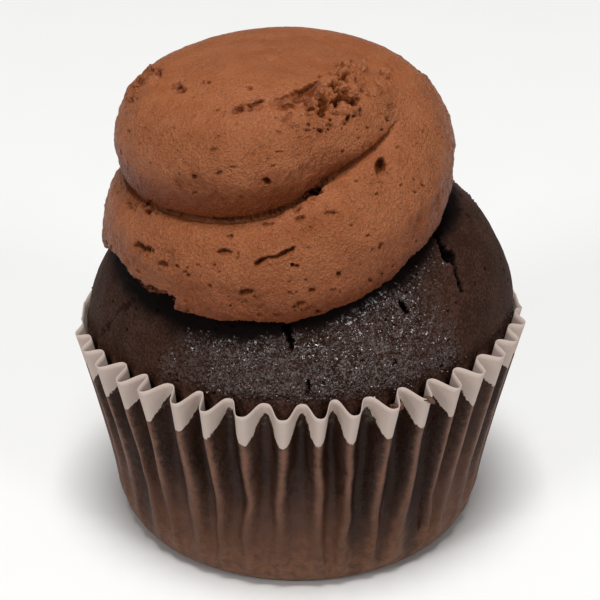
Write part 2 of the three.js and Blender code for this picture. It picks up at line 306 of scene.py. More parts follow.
def flat_blank():
    """The unpressed sheet: rows of points from its middle to its rim. Each knows its row's station
    (0 at the edge of the flat base, 1 at the corner's top, 2 at the rim), the turn it comes to, its
    part of the flute and how far the flutes are pressed in at its row."""
    base = np.linspace(BASE_MIDDLE, 0, BASE_ROWS, endpoint=False)
    corner = np.linspace(0, 1, CORNER_ROWS, endpoint=False)
    stations = np.concatenate([base, corner, np.linspace(1, 2, WALL_ROWS + 1)])
    shift = np.array([FLUTE_SHIFT * (flute_noise(n % FLUTES) - 0.5) for n in range(FLUTES + 1)])
    shallow = np.array([FOLD_VARIETY * flute_noise(n + FLUTES) for n in range(FLUTES)])
    soaked = np.array([flute_noise(n + 2 * FLUTES) for n in range(FLUTES)]) ** 2
    columns = np.arange(FLUTES * FACETS)
    flute = columns // FACETS
    part = (columns % FACETS) / FACETS
    place = flute + part + shift[flute] * (1 - part) + shift[flute + 1] * part
    turn = -math.pi / 2 + (place + 0.5) / FLUTES * 2 * math.pi
    station, turn = (a.ravel() for a in np.meshgrid(stations, turn, indexing="ij"))
    rows = len(stations)
    round_case = np.stack([3 * np.cos(turn), 3 * np.sin(turn), station], axis=1)
    free = np.clip(station, 0, 1) * (2 - np.clip(station, 0, 2))
    points = np.stack([turn, station, 0 * turn], axis=1)
    blank = new_mesh_piece("paper_case_flutes", points, grid_faces(rows, len(columns)))
    give(blank, "station", station)
    wander = lumps(round_case, 0.4, 1) + 0.35 * lumps(round_case * (1, 1, 3), 0.35, 3)
    give(blank, "turn", turn + RIDGE_WANDER * free * wander)
    give(blank, "part", np.tile(part, rows))
    give(blank, "shallower", np.tile(shallow[flute], rows))
    give(blank, "soaked", np.tile(soaked[flute] * np.sin(math.pi * part), rows))
    give(blank, "pressed", along(PRESSED, station))
    give(blank, "uneven", RIM_UNEVEN * lumps(round_case * (1, 1, 0), 0.4, 2))
    return blank


def pressing():
    """The tree that presses the flat blank into the fluted case."""
    sizes = [
        ("Rim Radius", RIM_RADIUS), ("Case Height", CASE_HEIGHT), ("Rim Slant", RIM_SLANT),
        ("Fold Lift", FOLD_LIFT), ("Base Radius", BASE_RADIUS), ("Corner Radius", CORNER_RADIUS),
        ("Corner Height", CORNER_HEIGHT), ("Wall Flare", WALL_FLARE), ("Case Lean", CASE_LEAN),
        ("Rim Tuck", RIM_TUCK), ("Tuck Turn", TUCK_TURN), ("Fold Room", FOLD_ROOM),
        ("Least Fold", LEAST_FOLD), ("Cake Half Width", CAKE_HALF_WIDTH),
        ("Cake Half Depth", CAKE_HALF_DEPTH), ("Cake Plan", CAKE_PLAN), ("Fullness", FLUTE_FULLNESS),
    ]
    tree, given, result, size = piece_tree("pressing", sizes)
    labels = ("station", "turn", "part", "shallower", "pressed", "uneven")
    station, turn, part, shallower, pressed, uneven = (kept_by_mesh(tree, label) for label in labels)
    above = station.through("GREATER_THAN", 1)
    rise = (station - 1).through("MAXIMUM", 0)
    low = station.through("MAXIMUM", 0).through("MINIMUM", 1)
    wave = (part * math.pi).through("SINE").through("ABSOLUTE")
    fold = wave ** (rise * (FOLD_POWER[1] - FOLD_POWER[0]) + FOLD_POWER[0])
    fuller = fold * fold * (3 - 2 * fold)
    fold = fold + (fuller - fold) * size["Fullness"]
    cosine, sine = turn.through("COSINE"), turn.through("SINE")
    plan = size["Cake Plan"]
    outline = (
        (cosine.through("ABSOLUTE") / size["Cake Half Width"]) ** plan
        + (sine.through("ABSOLUTE") / size["Cake Half Depth"]) ** plan
    ) ** (-1 / plan)
    side = (turn - size["Tuck Turn"]).through("SINE")
    tuck = side.between(*TUCK_STARTS) * (1 - side.between(*TUCK_ENDS))
    rim = size["Rim Radius"] - size["Rim Tuck"] * tuck
    room = rim - outline - size["Fold Room"] - shallower
    depth = room.through("MAXIMUM", size["Least Fold"])
    slope = (rim - size["Corner Radius"]) / (size["Case Height"] - size["Corner Height"])
    knee = size["Corner Radius"] - size["Corner Height"] * slope
    corner = (
        (1 - low) * (1 - low) * size["Base Radius"]
        + low * (1 - low) * knee * 2
        + low * low * size["Corner Radius"]
    )
    wall = size["Corner Radius"] + rise ** size["Wall Flare"] * (rim - size["Corner Radius"])
    wall_height = size["Corner Height"] + rise * (size["Case Height"] - size["Corner Height"])
    tip = corner + above * (wall - corner)
    base_share = (station + 1).through("MINIMUM", 1)
    radius = (tip - depth * pressed * fold) * base_share
    corner_height = low * low * size["Corner Height"]
    lift = rise * rise * (size["Fold Lift"] * fold + size["Rim Slant"] * cosine + uneven)
    height = corner_height + above * (wall_height - corner_height) + lift
    rim_lift = size["Fold Lift"] * wave * wave + size["Rim Slant"] * cosine + uneven
    below_rim = (size["Case Height"] + rim_lift - height) / MM
    lean = size["Case Lean"] * (height / size["Case Height"] - 1)

    combine = tree.nodes.new("ShaderNodeCombineXYZ")
    for axis, amount in zip("XYZ", (radius * cosine + lean, radius * sine, height)):
        tree.links.new(amount.socket, combine.inputs[axis])
    geometry = given.outputs["Mesh"]
    for label, amount in (("below_rim", below_rim), ("fold", wave)):
        keep = tree.nodes.new("GeometryNodeStoreNamedAttribute")
        keep.inputs["Name"].default_value = label
        tree.links.new(geometry, keep.inputs["Geometry"])
        tree.links.new(amount.socket, keep.inputs["Value"])
        geometry = keep.outputs["Geometry"]
    move = tree.nodes.new("GeometryNodeSetPosition")
    tree.links.new(geometry, move.inputs["Geometry"])
    tree.links.new(combine.outputs[0], move.inputs["Position"])
    end_tree(tree, given, result, move.outputs["Geometry"])
    return tree


def noise_group(name, detail, rough, kind="ShaderNodeTexNoise"):
    """Noise on a piece's own coordinates, from 0 to 1, with lumps of a size in millimetres."""
    inputs = [("Size", "NodeSocketFloat", 1.0), ("Stretch", "NodeSocketVector", (1, 1, 1))]
    tree, given, result = node_tree(name, "ShaderNodeTree", inputs, [("Amount", "NodeSocketFloat")])
    place = tree.nodes.new("ShaderNodeTexCoord")
    stretch = tree.nodes.new("ShaderNodeVectorMath")
    stretch.operation = "DIVIDE"
    noise = tree.nodes.new(kind)
    noise.inputs["Detail"].default_value = detail
    noise.inputs["Roughness"].default_value = rough
    scale = 1 / (Amount(tree, given.outputs["Size"]) * MM)
    tree.links.new(place.outputs["Object"], stretch.inputs[0])
    tree.links.new(given.outputs["Stretch"], stretch.inputs[1])
    tree.links.new(stretch.outputs[0], noise.inputs["Vector"])
    tree.links.new(scale.socket, noise.inputs["Scale"])
    tree.links.new(noise.outputs[0], result.inputs["Amount"])
    return tree


mottling = noise_group("mottling", 3, 0.55)
fine_grain = noise_group("fine grain", 1.5, 0.5)
grit = noise_group("grit", 4, 0.7)


class Finish:
    """A material under way: its node tree and its Principled shader."""

    def __init__(self, name):
        self.material = bpy.data.materials.new(name)
        self.material.use_nodes = True
        self.tree = self.material.node_tree
        self.shader = self.tree.nodes["Principled BSDF"]

    def noise(self, group, size, stretch=(1, 1, 1)):
        node = self.tree.nodes.new("ShaderNodeGroup")
        node.node_tree = group
        node.inputs["Size"].default_value = size
        node.inputs["Stretch"].default_value = stretch
        return Amount(self.tree, node.outputs["Amount"])

    def kept(self, name):
        node = self.tree.nodes.new("ShaderNodeAttribute")
        node.attribute_name = name
        return Amount(self.tree, node.outputs["Fac"])

    def mix(self, share, start, end):
        node = self.tree.nodes.new("ShaderNodeMix")
        node.data_type = "RGBA"
        self.tree.links.new(share.socket, node.inputs[0])
        for place, colour in ((node.inputs[6], start), (node.inputs[7], end)):
            if isinstance(colour, tuple):
                place.default_value = colour
            else:
                self.tree.links.new(colour, place)
        return node.outputs[2]

    def feed(self, amount, name):
        socket = amount.socket if isinstance(amount, Amount) else amount
        self.tree.links.new(socket, self.shader.inputs[name])

    def constant(self, name, value):
        """A number or colour that is the same all over."""
        self.shader.inputs[name].default_value = value

    def bump(self, height, depth):
        """Small relief of a depth in millimetres."""
        node = self.tree.nodes.new("ShaderNodeBump")
        node.inputs["Distance"].default_value = depth * MM
        self.tree.links.new(height.socket, node.inputs["Height"])
        self.tree.links.new(node.outputs[0], self.shader.inputs["Normal"])


def baking_paper():
    finish = Finish("baking paper")
    below, fold, soaked = (finish.kept(name) for name in ("below_rim", "fold", "soaked"))
    blotches = finish.noise(mottling, 3)
    crumb = finish.noise(grit, 1.1)
    streaks = finish.noise(mottling, 3.4, (1, 1, 5))
    fibres = finish.noise(fine_grain, 0.25, (1, 1, 3))
    bare = BARE_AT_RIDGE - (fold ** 2.2) * (BARE_AT_RIDGE - BARE_AT_VALLEY)
    edge = bare + (blotches - 0.5) * STAIN_STRAY + (fibres - 0.5) * 0.6
    stained = (below - edge).between(-STAIN_BLEED, STAIN_BLEED)
    white = finish.mix(finish.noise(mottling, 5), BARE_PAPER, BARE_SHADED)
    # The crumb behind the paper shows through as a mottle, palest on the folds.
    dark = (streaks + (crumb - 0.5) * 0.5 + soaked * 0.2).between(0.42, 0.62)
    valley = finish.mix(dark, STAINED_VALLEY, STAINED_DARK)
    low = (below + (blotches - 0.5) * 14 + (streaks - 0.5) * 14 - soaked * 14).between(*PALER_LOW)
    mottle = (blotches - 0.5) * 0.4 + (crumb - 0.5) * 0.7
    ridge = (fold + mottle + soaked * 0.3 - low * 0.2).between(-0.1, 0.6)
    brown = finish.mix(ridge, STAINED_RIDGE, valley)
    # Towards the corner the stain is painted paler, as light thrown up from the pale table, in a mottle.
    bounce_lit = (below + (blotches - 0.5) * 10).between(*TABLE_BOUNCE_LOW)
    corner = finish.mix(bounce_lit, STAINED_LOW, STAINED_CORNER_BOUNCE_LIT)
    corner = finish.mix(crumb.between(0.35, 0.7), corner, STAINED_LOW)
    brown = finish.mix(low, brown, corner)
    smears = finish.noise(mottling, 0.9).between(0.5, 0.66)
    greasy = (GREASY_DOWN_TO - below).between(0, 2.5) * smears * fold
    brown = finish.mix(greasy, brown, GREASE)
    finish.feed(finish.mix(stained, white, brown), "Base Color")
    finish.feed(0.72 - stained * 0.25 + (blotches - 0.5) * 0.2, "Roughness")
    finish.bump(fibres * 0.1 + crumb * stained, 0.3)
    finish.constant("Specular IOR Level", 0.15)
    return finish.material


case = flat_blank()
flutes = case.modifiers.new("flutes", "NODES")
flutes.node_group = pressing()
set_inputs(flutes, Rim_Radius=RIM_RADIUS, Case_Height=CASE_HEIGHT, Material=baking_paper())
wall = case.modifiers.new("wall", "SOLIDIFY")
wall.thickness = PAPER
wall.offset = -1
settle(case)
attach(case, "root")
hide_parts("paper_case")

# ---------------------------------------------------------------- cake
# The chocolate sponge, baked in the case. It rose above the rim into a dome with a thin, moist crust,
# which cracked in a few places and is rough with fine grains in front, below the frosting.

DOME_BASE = 34.3 * MM
DOME_HEIGHT = 28.5 * MM
DOME_FULLNESS = 2.05  # 2 is a quarter of an ellipse, and more is fuller
DOME_LEAN = 0.08  # to +X, of the height
DOME_LUMPS = 0.25 * MM  # that its outline swells in and out
CAKE_SKIN = 0.22 * MM  # length of a face's side
CAKE_FACES = 190000
DOME_RINGS = 60
DOME_FACETS = 240
DOME_FOOT = 0.05 * MM  # how far the whole dome goes down below its base
DEEPEST_FACET = 1 * MM  # what lies less deep than this under the dome is brought up to it
RIM_SWELL = 0.3 * MM  # the crust swells out to the paper by this much
CRACK_DEPTH = 1.3  # of its width
FOLD_DEPTH = 0.3
CRUST_PORES = 240
CRUST_PORE_WIDTH = (0.15, 0.4)  # mm
# The crust's lumps: size in mm, height in mm, height more where it is grainy, and noise seed.
CRUST_LUMPS = [
    (7, 0.2, 0, 12), (2.2, 0.08, 0.1, 13), (0.85, 0.02, 0.17, 14), (0.5, 0.01, 0.14, 15),
    (0.33, 0.005, 0.09, 19),
]
GRAINY_FRONT = (0.7, 0.92)  # sine of the angle from the sides to where it begins and to where it is full
GRAINY_TURN = 0.05  # radians that the grainy front is turned to the right
GRAINY_PATCHES = 0.25  # how grainy the crust is in patches elsewhere

# Cracks and shallow folds of the crust, from end to end: (across, down) in the frame, width in mm.
CRACKS = [
    [(435, 230, 1), (439, 242, 0.9), (444, 252, 1.5), (450, 257, 1.9), (455, 264, 1), (456, 274, 0.9),
     (460, 284, 1), (463, 292, 0.7)],
    [(452, 252, 0.6), (454, 258, 1.1), (455, 264, 0.9)],
    [(400, 301, 0.6), (404, 307, 0.9), (408, 314, 0.6)],
    [(287, 322, 1.3), (288, 330, 1.2), (290, 341, 0.9), (292, 352, 0.5)],
    [(308, 381, 0.5), (309, 385, 0.6), (310, 392, 0.4)],
]
FOLDS = [
    [(134, 298, 1.2), (126, 304, 1.8), (119, 311, 1.1), (113, 322, 0.9), (108, 328, 1.7), (101, 339, 0.8)],
    [(352, 354, 0.9), (362, 353, 1)],
    [(310, 388, 1.2), (312, 396, 0.9)],
    [(447, 214, 2), (438, 226, 2.4), (434, 234, 1.6)],
]
# Cracks at the back: (degrees round from +X, share of the dome's height, width in mm).
BACK_CRACKS = [
    [(52, 0.66, 0.6), (55, 0.58, 1.1), (53, 0.5, 1.5), (56, 0.43, 0.5)],
    [(128, 0.5, 0.5), (131, 0.43, 1.1), (129, 0.36, 0.5)],
]

FROSTING_SHADOW_REACH = (1.2 * MM, 3.8 * MM)  # from there to there off the frosting, the crust is painted darker as the frosting's shadow
SPONGE = (0.029, 0.0105, 0.0058, 1)
SPONGE_PALE = (0.062, 0.029, 0.02, 1)
# Painted shade, near black, in the cracks, pores and folds and in the band of painted shadow below the
# frosting.
SPONGE_PAINTED_SHADE = (0.003, 0.0008, 0.0005, 1)


def cake_radius(angle):
    across = np.abs(np.cos(angle)) / CAKE_HALF_WIDTH
    along_depth = np.abs(np.sin(angle)) / CAKE_HALF_DEPTH
    return (across ** CAKE_PLAN + along_depth ** CAKE_PLAN) ** (-1 / CAKE_PLAN)


def dome_radius(angle, share, extra=0):
    """The dome's radius at a share of its height, about its own leaning axis."""
    reach = (1 - share ** DOME_FULLNESS) ** (1 / DOME_FULLNESS)
    swell = DOME_LUMPS * reach * share * (np.sin(3 * angle + 5 * share) + np.sin(7 * angle))
    return reach * (cake_radius(angle) + extra) + swell


def dome_place(degrees, share):
    angle = math.radians(degrees)
    r = float(dome_radius(angle, share))
    lean = DOME_LEAN * share * DOME_HEIGHT
    return Vector((r * math.cos(angle) + lean, r * math.sin(angle), DOME_BASE + share * DOME_HEIGHT))


def points_of(mesh, what="co"):
    values = np.empty(3 * len(mesh.vertices), np.float32)
    mesh.vertices.foreach_get(what, values)
    return values.reshape(-1, 3).astype(float)


def move_points(piece, points):
    piece.data.vertices.foreach_set("co", np.asarray(points, np.float32).ravel())
    piece.data.update()


def closed_body(name, rows):
    """A closed body from rings of points, rows by columns, its ends closed by a face each."""
    count, columns = rows.shape[:2]
    faces = grid_faces(count, columns)
    faces.append(tuple(range(columns))[::-1])
    faces.append(tuple(range((count - 1) * columns, count * columns)))
    return new_mesh_piece(name, rows.reshape(-1, 3), faces)


def dome_body(name, extra, foot_depth):
    """The dome as a smooth body of its own, grown by extra, on an upright foot of a depth."""
    shares = np.sin(np.linspace(0, math.pi / 2, DOME_RINGS, endpoint=False))
    angles = np.linspace(0, 2 * math.pi, DOME_FACETS, endpoint=False)
    shares, angles = np.meshgrid(shares, angles, indexing="ij")
    r = dome_radius(angles, shares, extra)
    z = DOME_BASE + shares * (DOME_HEIGHT + extra)
    lean = DOME_LEAN * (z - DOME_BASE)
    rows = np.stack([r * np.cos(angles) + lean, r * np.sin(angles), z], axis=2)
    foot = rows[:1] * (1, 1, 0) + (0, 0, DOME_BASE - foot_depth)
    return closed_body(name, np.concatenate([foot, rows]))


def joined(piece, other):
    """Makes the other's mesh a part of the piece."""
    with bpy.context.temp_override(active_object=piece, selected_editable_objects=[piece, other]):
        bpy.ops.object.join()
    return piece


def even_skin(piece, side):
    """Covers a piece of one or more closed bodies with one skin of even faces."""
    skin = piece.modifiers.new("even skin", "REMESH")
    skin.mode = "VOXEL"
    skin.voxel_size = side
    return settle(piece)


def fewer_faces(piece, most):
    """Joins the flattest faces until no more than that many triangles are left."""
    triangles = sum(len(p.vertices) - 2 for p in piece.data.polygons)
    if triangles > most:
        thin = piece.modifiers.new("fewer faces", "DECIMATE")
        thin.ratio = most / triangles
        settle(piece)
    return piece


def smooth_step(value, low, high):
    share = np.clip((value - low) / (high - low), 0, 1)
    return share * share * (3 - 2 * share)


class Carving:
    """Works out hollows, or raised crumbs, at the points of a surface."""

    def __init__(self, points):
        self.tree = KDTree(len(points))
        for i, point in enumerate(points):
            self.tree.insert(point, i)
        self.tree.balance()
        self.ragged = 1 + 0.35 * lumps(points, 0.5 * MM, 5) + 0.3 * lumps(points, 1.1 * MM, 6)

    def depth(self, strokes, steepness=0.45):
        """How deep the strokes are at each point. A stroke is (place, half width, depth)."""
        deep = np.zeros(len(self.ragged))
        for place, half_width, depth in strokes:
            found = self.tree.find_range(place, 1.7 * half_width)
            if found:
                near = np.array([i for _, i, _ in found])
                far = np.array([d for _, _, d in found])
                share = smooth_step(-far * self.ragged[near] / half_width, -1, -steepness)
                deep[near] = np.maximum(deep[near], depth * share)
        return deep


def strokes_along(path, place_at, depth, rng):
    """Strokes along a path of (one way, other way, width in mm). place_at finds their places."""
    spots = np.array(path, float)
    steps = np.linspace(0, len(spots) - 1, 8 * len(spots))
    strokes = []
    for one, other, width in zip(*(np.interp(steps, range(len(spots)), column) for column in spots.T)):
        place = place_at(one, other)
        if place is not None:
            width *= rng.uniform(0.7, 1.2) * MM
            stray = rng.normal(0, 0.1, 3) * width
            strokes.append((Vector(place) + Vector(stray), width / 2, depth * width))
    return strokes


def smoothed(mesh, points, rounds, chosen=None):
    """The points after each chosen one moved halfway to its neighbours' middle that many times."""
    ends = np.empty(2 * len(mesh.edges), np.int64)
    mesh.edges.foreach_get("vertices", ends)
    ends = ends.reshape(-1, 2)
    if chosen is not None:
        ends = ends[chosen[ends].all(axis=1)]
    touched, ends = np.unique(ends, return_inverse=True)
    a, b = ends.reshape(-1, 2).T
    count = np.bincount(np.concatenate([a, b]))[:, None]
    moved = points[touched]
    for _ in range(rounds):
        total = [
            np.bincount(a, axis[b], len(axis)) + np.bincount(b, axis[a], len(axis)) for axis in moved.T
        ]
        moved = 0.5 * moved + 0.5 * np.stack(total, axis=1) / count
    result = points.copy()
    result[touched] = moved
    return result


def surface_of(piece):
    """The piece's mesh, ready for rays."""
    mesh = piece.data
    return BVHTree.FromPolygons([v.co for v in mesh.vertices], [p.vertices for p in mesh.polygons])


def seen_at(surface, across, down):
    """The place of a surface that shows at a point of the frame."""
    ray = Vector((across - FRAME_MIDDLE[0], FRAME_MIDDLE[1] - down, -FRAME_FOCUS))
    return surface.ray_cast(camera.location, camera.matrix_world.to_3x3() @ ray)[0]


def rounded_dome(piece):
    """Brings a piece's facets up to the true dome. Gives its points, the share of the dome's height
    where each is, and the angle round the dome."""
    points = points_of(piece.data)
    x, y, z = points.T
    share = (z - DOME_BASE) / DOME_HEIGHT
    lean = DOME_LEAN * (z - DOME_BASE)
    angle = np.arctan2(y, x - lean)
    r = np.hypot(x - lean, y)
    sunk = dome_radius(angle, np.clip(share, 0, 1)) - r
    on_dome = smooth_step(share, 0.05, 0.12) * smooth_step(-share, -0.97, -0.93)
    r = r + on_dome * (sunk < DEEPEST_FACET) * sunk
    points = np.stack([lean + r * np.cos(angle), r * np.sin(angle), z], axis=1)
    move_points(piece, points)
    return points, share, angle


def cake_piece():
    piece = new_object("cake_sponge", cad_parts["cake"].data.copy())
    weld = piece.modifiers.new("weld", "WELD")
    weld.merge_threshold = 0.001 * MM
    settle(piece)
    # The dome is made whole and round here, and its cracks are cut anew below.
    joined(piece, dome_body("whole_dome", 0, DOME_FOOT))
    even_skin(piece, CAKE_SKIN)
    points, share, angle = rounded_dome(piece)
    surface = surface_of(piece)

    def in_front(across, down):
        return seen_at(surface, across, down)

    rng = np.random.default_rng(41)
    strokes = []
    for path in CRACKS:
        strokes += strokes_along(path, in_front, CRACK_DEPTH, rng)
    for path in BACK_CRACKS:
        strokes += strokes_along(path, dome_place, CRACK_DEPTH, rng)
    for i in rng.choice(np.flatnonzero((share > 0.05) & (share < 0.9)), CRUST_PORES, replace=False):
        width = rng.uniform(*CRUST_PORE_WIDTH) * MM
        strokes.append((points[i], width, 0.9 * width))
    folds = []
    for path in FOLDS:
        folds += strokes_along(path, in_front, FOLD_DEPTH, rng)
    carving = Carving(points)
    cuts = carving.depth(strokes)
    dents = carving.depth(folds, 0.05)

    # Its front is coarse with sugar grains, and elsewhere it is so in a few patches.
    normals = points_of(piece.data, "normal")
    patches = GRAINY_PATCHES * smooth_step(lumps(points, 9 * MM, 11), 0.15, 0.75)
    front = -np.sin(angle - GRAINY_TURN) + 0.1 * lumps(points, 5 * MM, 17)
    front = smooth_step(front, *GRAINY_FRONT)
    topping = surface_of(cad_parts["frosting"])
    distance = np.full(len(points), 1.0)
    for i in np.flatnonzero(share > 0.2):
        distance[i] = topping.find_nearest(points[i])[3]
    # A band of painted shadow on the crust just below the frosting, and the grains are left out of it.
    frosting_shadow = 1 - smooth_step(distance * (1 + 0.25 * lumps(points, 2 * MM, 18)), *FROSTING_SHADOW_REACH)
    grainy = np.maximum(front, patches) * smooth_step(share, 0.02, 0.12) * (1 - frosting_shadow)
    grainy *= 1 - np.clip(cuts / (0.2 * MM), 0, 1)
    shown = smooth_step(share, -0.02, 0.08)
    relief = RIM_SWELL * smooth_step(share, -0.1, 0.0) * smooth_step(-share, -0.5, -0.1) / MM
    for size, height, grainy_height, seed in CRUST_LUMPS:
        relief += shown * (height + grainy_height * grainy) * lumps(points, size * MM, seed)
    points = points + normals * (relief * MM - cuts - dents)[:, None]
    move_points(piece, points)
    give(piece, "grainy", grainy)
    # The grains lie in loose clusters.
    give(piece, "strewn", grainy * (0.2 + 0.8 * smooth_step(lumps(points, 2.6 * MM, 16), -0.5, 0.4)))
    # Painted shade: the cracks, pores and folds are coloured darker, and so is the band of painted shadow
    # below the frosting.
    give(piece, "painted_shade", np.clip(cuts / (0.4 * MM) + 0.4 * dents / (0.4 * MM) + frosting_shadow, 0, 1))
    return fewer_faces(piece, CAKE_FACES)


# Low on each pebble and high in the gaps between them.
pebbles = noise_group("pebbles", 0, 0.5, "ShaderNodeTexVoronoi")


def chocolate_sponge():
    finish = Finish("chocolate sponge")
    painted_shade, grainy = finish.kept("painted_shade"), finish.kept("grainy")
    patches = finish.noise(mottling, 5)
    grain = finish.noise(fine_grain, 0.4)
    fine = finish.noise(fine_grain, 0.2)
    gap = finish.noise(pebbles, 0.8)
    crust = finish.mix((grain * 0.6 + patches * 0.4).between(0.4, 0.65), SPONGE, SPONGE_PALE)
    # The crust is painted near black where the painted shade is.
    finish.feed(finish.mix(painted_shade, crust, SPONGE_PAINTED_SHADE), "Base Color")
    finish.feed(0.7 - grainy * 0.35 + (patches - 0.5) * 0.2, "Roughness")
    finish.bump((grain + fine * 0.4 - gap * gap * 0.5) * (grainy * 0.85 + 0.15), 0.6)
    finish.constant("Specular IOR Level", 0.07)
    # The grains are glazed with sugar that melted in the oven.
    glaze = (grain * 0.5 + fine * 0.2 + finish.noise(mottling, 1.6) * 0.3).between(0.44, 0.57)
    finish.feed(grainy * glaze, "Coat Weight")
    finish.constant("Coat Roughness", 0.2)
    finish.constant("Coat IOR", 1.9)
    return finish.material


cake = cake_piece()
cake.data.materials.clear()
cake.data.materials.append(chocolate_sponge())
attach(cake, "root")
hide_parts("cake")

# ---------------------------------------------------------------- crumbs on the rim
# Two soft crumbs of sponge that stuck to the case's rim where the batter touched it. They are squeezed
# onto the paper's edge.

# (across, down) in the frame, half the length, depth and height in mm, and tilt in degrees.
RIM_CRUMBS = [(397, 407, (1.15, 0.6, 0.65), 10), (430, 400, (0.85, 0.5, 0.5), -20)]
CRUMB_DARK = (0.045, 0.014, 0.007, 1)
CRUMB_PALE = (0.15, 0.05, 0.022, 1)
CRUMB_RINGS = 24
CRUMB_END = 0.05  # radians from a crumb's tip to its first ring


def ball_of_rings(rings):
    """Rings of points on a ball of radius 1, from its left to its right."""
    tilts = np.linspace(-math.pi / 2 + CRUMB_END, math.pi / 2 - CRUMB_END, rings)
    turns = np.linspace(0, 2 * math.pi, 2 * rings, endpoint=False)
    tilts, turns = np.meshgrid(tilts, turns, indexing="ij")
    return np.stack([np.sin(tilts), np.cos(tilts) * np.cos(turns), np.cos(tilts) * np.sin(turns)], axis=2)


def rim_crumb(across, down, half_sizes, tilt):
    """One uneven crumb, at the place of the rim that shows at a point of the frame."""
    ball = ball_of_rings(CRUMB_RINGS)
    uneven = lumps((ball * half_sizes + across).reshape(-1, 3), 0.5, 61).reshape(ball.shape[:2])
    x, y, z = np.moveaxis(ball * (1 + 0.5 * uneven[..., None]) * half_sizes * MM, 2, 0)
    c, s = math.cos(math.radians(tilt)), math.sin(math.radians(tilt))
    tilted = np.stack([x * c - z * s, y, x * s + z * c], axis=2)
    return closed_body("rim_crumbs", tilted + np.array(seen_at(rim_surface, across, down)))


def soft_crumb():
    finish = Finish("soft crumb")
    grain = finish.noise(grit, 0.6)
    finish.feed(finish.mix(grain.between(0.4, 0.65), CRUMB_DARK, CRUMB_PALE), "Base Color")
    finish.feed(0.35 + grain * 0.4, "Roughness")
    finish.bump(grain, 0.3)
    return finish.material


rim_surface = surface_of(case)
rim_crumbs, *others = [rim_crumb(*crumb) for crumb in RIM_CRUMBS]
for other in others:
    joined(rim_crumbs, other)
rim_crumbs.data.shade_smooth()
rim_crumbs.data.materials.append(soft_crumb())
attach(rim_crumbs, "root")

# ---------------------------------------------------------------- grains on the crust
# Coarse grains of sugar and baked crumb. They stick half sunk in the crust, where it is grainy, and
# are thickest in front.

GRAIN_DENSITY = 20 / MM ** 2  # where they lie thickest
GRAIN_LEAST = 0.06 * MM  # half their size across
GRAIN_MOST = 0.27 * MM
GRAIN_VARIETY = (0.6, 1.4)  # of that size, each way
GRAIN_SEED = 5
GRAIN_COLOUR = (0.045, 0.021, 0.016, 1)
GRAIN_PALE = (0.1, 0.06, 0.055, 1)


def sprinkling():
    """The tree that strews grains on a crust, as thickly as its own attribute says."""
    sizes = [("Density", GRAIN_DENSITY), ("Least Size", GRAIN_LEAST), ("Most Size", GRAIN_MOST)]
    tree, given, result, size = piece_tree("sprinkling", sizes)

    def chance(kind, least, most, seed):
        node = tree.nodes.new("FunctionNodeRandomValue")
        node.data_type = kind
        sockets = {s.name: s for s in node.inputs if s.enabled}
        sockets["Min"].default_value = least
        sockets["Max"].default_value = most
        sockets["Seed"].default_value = seed
        return next(s for s in node.outputs if s.enabled)

    thick = kept_by_mesh(tree, "strewn") * size["Density"]
    scatter = tree.nodes.new("GeometryNodeDistributePointsOnFaces")
    scatter.inputs["Seed"].default_value = GRAIN_SEED
    tree.links.new(given.outputs["Mesh"], scatter.inputs["Mesh"])
    tree.links.new(thick.socket, scatter.inputs["Density"])
    grain = tree.nodes.new("GeometryNodeMeshIcoSphere")
    grain.inputs["Radius"].default_value = 1
    grain.inputs["Subdivisions"].default_value = 1
    big = Amount(tree, chance("FLOAT", 0, 1, GRAIN_SEED + 1)) ** 3
    radius = size["Least Size"] + big * (size["Most Size"] - size["Least Size"])
    shape = tree.nodes.new("ShaderNodeVectorMath")
    shape.operation = "SCALE"
    shortest, longest = ((share,) * 3 for share in GRAIN_VARIETY)
    tree.links.new(chance("FLOAT_VECTOR", shortest, longest, GRAIN_SEED + 2), shape.inputs[0])
    tree.links.new(radius.socket, shape.inputs["Scale"])
    lay = tree.nodes.new("GeometryNodeInstanceOnPoints")
    tree.links.new(scatter.outputs["Points"], lay.inputs["Points"])
    tree.links.new(grain.outputs["Mesh"], lay.inputs["Instance"])
    full_turn = (2 * math.pi,) * 3
    tree.links.new(chance("FLOAT_VECTOR", (0, 0, 0), full_turn, GRAIN_SEED + 3), lay.inputs["Rotation"])
    tree.links.new(shape.outputs[0], lay.inputs["Scale"])
    end_tree(tree, given, result, lay.outputs["Instances"])
    return tree


def sugar_grain():
    finish = Finish("sugar grain")
    tint = finish.noise(fine_grain, 0.5)
    finish.feed(finish.mix(tint.between(0.4, 0.75), GRAIN_COLOUR, GRAIN_PALE), "Base Color")
    finish.feed(0.14 + tint * 0.25, "Roughness")
    finish.constant("Specular IOR Level", 0.6)
    return finish.material


grains = new_object("cake_grains", cake.data.copy())
strewing = grains.modifiers.new("sprinkling", "NODES")
strewing.node_group = sprinkling()
set_inputs(strewing, Density=GRAIN_DENSITY, Material=sugar_grain())
settle(grains)
grains.data.shade_flat()
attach(grains, "root")

# ---------------------------------------------------------------- frosting
# Whipped chocolate frosting, piped on the dome as one thick rope in a little over two turns. Air in it
# left pores, and the nozzle dragged it into tears along the turns and round the end.

SWIRL_X = -3.4 * MM  # its axis
SWIRL_Y = -2.6 * MM
SWIRL_TOP = 79.15 * MM
SWIRL_START = -0.14  # in turns, anticlockwise from +X
SWIRL_END = 2.06
CORE_RADIUS = 18.6 * MM
CORE_MIDDLE = 58 * MM
CORE_HALF_HEIGHT = 21.2 * MM
CORE_SQUARENESS = 0.5
